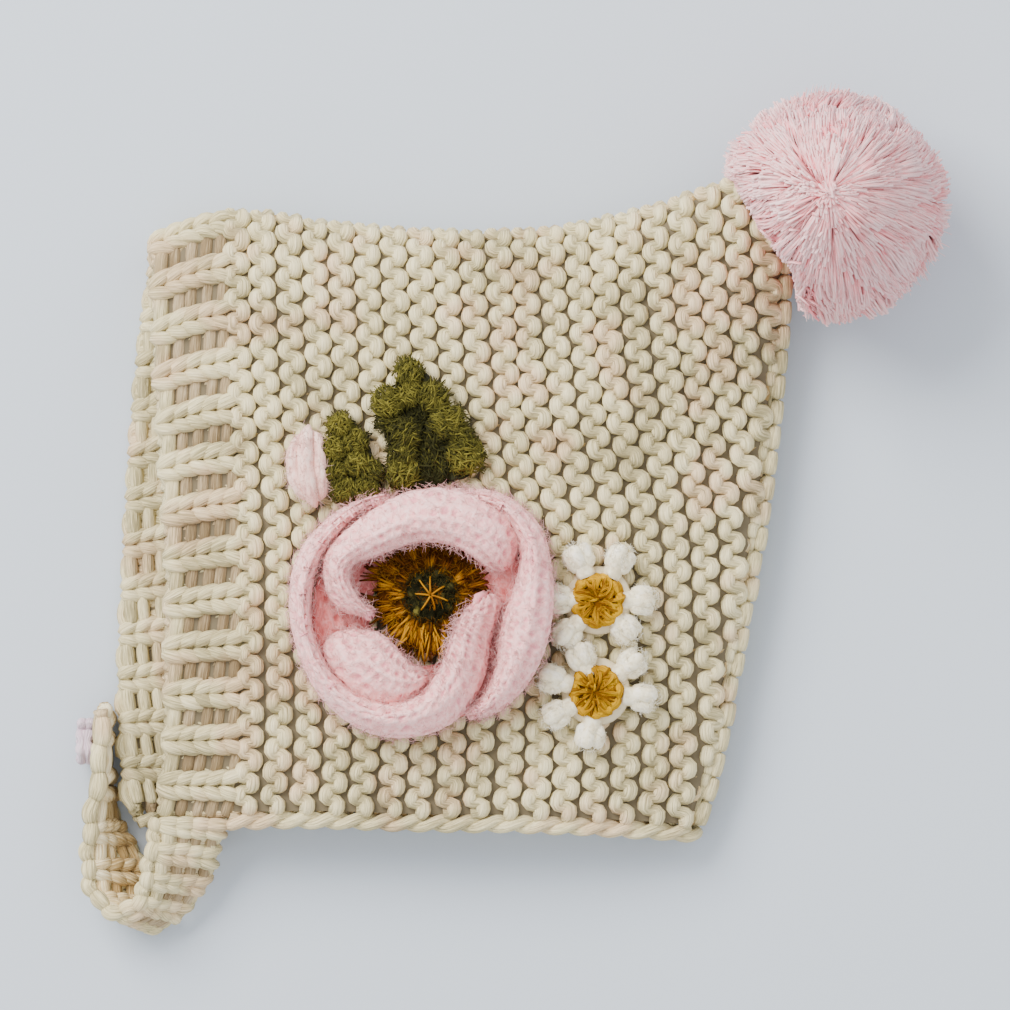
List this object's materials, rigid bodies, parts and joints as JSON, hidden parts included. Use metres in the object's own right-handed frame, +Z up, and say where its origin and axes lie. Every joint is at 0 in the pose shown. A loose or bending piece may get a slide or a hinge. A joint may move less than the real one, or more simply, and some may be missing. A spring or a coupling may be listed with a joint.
{
  "type": "baby bonnet",
  "caption": "Knitted baby bonnet lying flat: garter-stitch body, ribbed brim, chin strap with a button, pompom at the peak, and a crocheted rose, leaves and daisies on one side.",
  "frame": {"origin": "on the surface the bonnet lies on, under the middle of its bounding box", "axes": "+X from the face opening towards the back seam, +Y from the neck edge towards the crown fold, +Z up from the surface"},
  "size_m": [0.2078, 0.2013, 0.0544],
  "materials": {
    "knit_cream": "thick cream wool-blend yarn, knitted, soft and matt",
    "cord_cream": "the same cream yarn, crocheted into a smooth cord",
    "button_lilac": "pale lilac-pink, yarn covered, matt",
    "yarn_pompom": "pale pink cut yarn",
    "yarn_rose": "pale pink brushed yarn, crocheted, with a soft halo",
    "yarn_ochre": "ochre brushed yarn, crocheted",
    "yarn_dark_olive": "dark olive brushed yarn with ochre strands over it",
    "yarn_olive": "olive green brushed yarn, crocheted",
    "yarn_lilac": "very pale lilac-pink yarn, crocheted",
    "yarn_white": "off-white yarn, crocheted into bobbles",
    "yarn_mustard": "mustard yarn, crocheted"
  },
  "bodies": {
    "root": {"body": "knit_cream", "brim": "knit_cream", "neck_edging": "cord_cream", "chin_strap": "knit_cream", "strap_button": "button_lilac", "pompom": "yarn_pompom", "rose_petal_upper": "yarn_rose", "rose_petal_right": "yarn_rose", "rose_petal_lower": "yarn_rose", "rose_petal_inner": "yarn_rose", "rose_center": "yarn_ochre", "rose_eye": "yarn_dark_olive", "leaf_large": "yarn_olive", "leaf_small": "yarn_olive", "bud": "yarn_lilac", "daisy_upper_petals": "yarn_white", "daisy_upper_center": "yarn_mustard", "daisy_lower_petals": "yarn_white", "daisy_lower_center": "yarn_mustard"}
  },
  "joints": []
}
